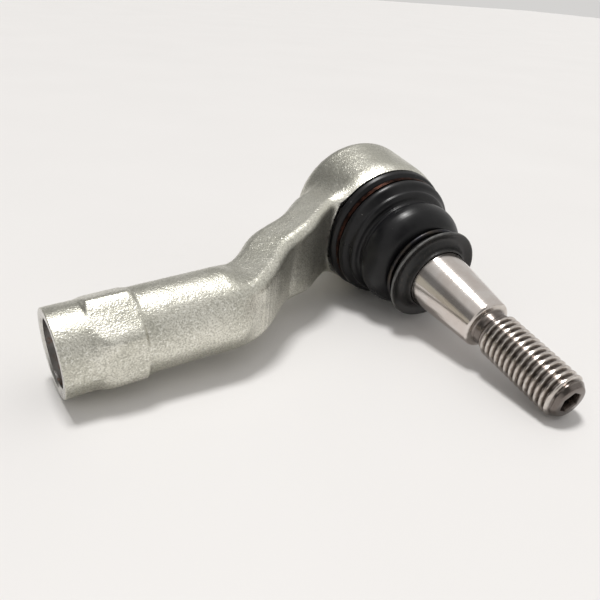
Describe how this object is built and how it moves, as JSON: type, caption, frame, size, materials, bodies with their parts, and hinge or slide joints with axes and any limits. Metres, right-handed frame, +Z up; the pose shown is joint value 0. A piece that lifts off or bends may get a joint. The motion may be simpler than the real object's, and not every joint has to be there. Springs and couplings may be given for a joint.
{
  "type": "tie rod end",
  "caption": "Forged steering tie rod end: threaded hexagon-lugged shank, cranked arm, and a round socket holding a booted, tapered and threaded ball stud.",
  "frame": {"origin": "middle of the base of the assembly's box, on the level surface that it lies on", "axes": "+Z up from that surface; +X level, from the shank's open end towards the socket; the stud points towards -Y"},
  "size_m": [0.144, 0.1192, 0.0502],
  "materials": {
    "zinc_forging": "zinc-plated forging with a fine blasted grain",
    "zinc_plate": "zinc-plated sheet, satin",
    "bright_steel": "ground and polished",
    "spring_steel": "oiled dark spring steel",
    "black_rubber": "smooth moulded rubber with a soft sheen",
    "race_polymer": "smooth natural acetal"
  },
  "bodies": {
    "housing": {"forged_body": "zinc_forging", "cover_plate": "zinc_plate", "preload_spring": "spring_steel", "lower_ball_race": "race_polymer", "upper_ball_race": "race_polymer", "boot_housing_ring": "spring_steel"},
    "boot_middle": {"boot": "black_rubber"},
    "collar": {"stud_collar": "black_rubber", "boot_stud_clamp": "spring_steel"},
    "stud": {"ball_stud": "bright_steel"}
  },
  "joints": [
    {"name": "stud_swing_sideways", "type": "hinge", "parent": "housing", "child": "boot_middle", "pos_m": [0.04793, 0.03408, 0.024], "axis": [-0.9986, 0, -0.0534], "range_deg": [-17, 23], "deforming": ["boot"]},
    {"name": "stud_swing_lengthways", "type": "hinge", "parent": "boot_middle", "child": "collar", "pos_m": [0.04793, 0.03408, 0.024], "axis": [0.0525, 0.1886, -0.9807], "range_deg": [-18.28, 21.72], "deforming": ["boot"]},
    {"name": "stud_spin", "type": "hinge", "parent": "collar", "child": "stud", "pos_m": [0.04793, 0.03408, 0.024], "axis": [0.04, -0.9816, -0.1866], "continuous": true}
  ]
}
